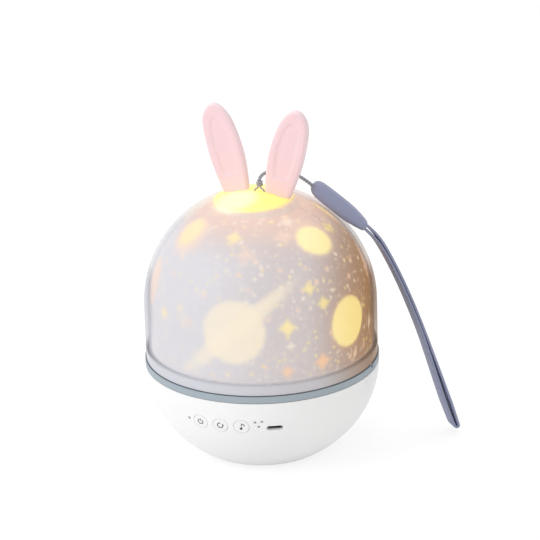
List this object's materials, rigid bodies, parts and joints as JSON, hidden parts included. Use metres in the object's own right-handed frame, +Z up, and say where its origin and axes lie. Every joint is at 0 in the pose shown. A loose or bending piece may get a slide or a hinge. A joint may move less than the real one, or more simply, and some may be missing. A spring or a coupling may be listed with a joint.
{
  "type": "star night light projector",
  "caption": "Bowl-based night light with a lift-off milky dome, soft rabbit ears, a turning star film, push buttons, a charging port and a wrist lanyard.",
  "frame": {"origin": "centre of the rubber foot's underside, on the surface that the light stands on", "axes": "+Z up along the dome's axis, -Y towards the front with the buttons, +X to the right of someone facing the front"},
  "size_m": [0.1614, 0.125, 0.1898],
  "materials": {
    "white_shell": "satin moulded plastic",
    "blue_grey_ring": "satin moulded plastic",
    "milky_cover": "translucent, polished",
    "pink_ear": "soft matte",
    "foot_rubber": "matte",
    "deck": "matte",
    "acetal": "low friction, matte",
    "spring_steel": "brushed",
    "steel": "zinc plated",
    "heat_sink": "bare aluminium",
    "circuit_board": "solder mask over glass fibre",
    "white_board": "white solder mask",
    "chips": "phosphor",
    "clear_lens": "clear, polished",
    "clear_dome": "clear, polished",
    "film": "printed film",
    "motor_case": "plated steel",
    "switch_body": "matte",
    "light_pipe": "clear",
    "cell": "shrink sleeve",
    "cradle": "matte",
    "basket": "black",
    "cone": "paper",
    "magnet": "plated",
    "button": "satin",
    "cord": "braided",
    "sleeve": "soft, satin",
    "strap": "woven band",
    "pinion": "acetal"
  },
  "bodies": {
    "base": {"base_shell": "white_shell", "foot_ring": "foot_rubber", "trim_ring": "blue_grey_ring", "deck_plate": "deck", "lamp_post": "deck", "thrust_washer": "acetal", "hub_clip": "spring_steel", "heat_sink": "heat_sink", "lamp_board": "white_board", "lamp_chips": "chips", "lamp_lens": "clear_lens", "motor": "motor_case", "main_board": "circuit_board", "tact_switches": "switch_body", "indicator_light": "light_pipe", "charge_board": "circuit_board", "usb_socket": "steel", "battery": "cell", "battery_cradle": "cradle", "speaker_frame": "basket", "speaker_cone": "cone", "speaker_magnet": "magnet", "deck_screws": "steel", "post_screws": "steel", "motor_screws": "steel", "board_screws": "steel"},
    "cover": {"outer_cover": "milky_cover", "ear_left": "pink_ear", "ear_right": "pink_ear", "lanyard_loop": "cord", "lanyard_knot": "cord", "lanyard_cord": "cord", "lanyard_sleeve": "sleeve", "lanyard_strap": "strap"},
    "film_dome": {"turntable": "acetal", "film_carrier": "clear_dome", "star_film": "film"},
    "drive": {"motor_pinion": "pinion", "motor_shaft": "steel"},
    "power_key": {"power_button": "button"},
    "rotate_key": {"rotate_button": "button"},
    "music_key": {"music_button": "button"}
  },
  "joints": [
    {"name": "cover_lift", "type": "slide", "parent": "base", "child": "cover", "axis": [0, 0, 1], "range_m": [0, 0.095]},
    {"name": "film_turn", "type": "hinge", "parent": "base", "child": "film_dome", "pos_m": [0, 0, 0.0584], "axis": [0, 0, 1], "continuous": true},
    {"name": "drive_turn", "type": "hinge", "parent": "base", "child": "drive", "pos_m": [-0.042, 0, 0.0538], "axis": [0, 0, 1], "continuous": true},
    {"name": "power_press", "type": "slide", "parent": "base", "child": "power_key", "axis": [0, 0.963, 0.2695], "range_m": [0, 0.0005], "stiffness_N_per_m": 600, "springref_m": -0.0003},
    {"name": "rotate_press", "type": "slide", "parent": "base", "child": "rotate_key", "axis": [0, 0.963, 0.2695], "range_m": [0, 0.0005], "stiffness_N_per_m": 600, "springref_m": -0.0003},
    {"name": "music_press", "type": "slide", "parent": "base", "child": "music_key", "axis": [0, 0.963, 0.2695], "range_m": [0, 0.0005], "stiffness_N_per_m": 600, "springref_m": -0.0003}
  ],
  "couplings": [
    {"joint": "drive_turn", "follows": "film_turn", "ratio": -6}
  ]
}
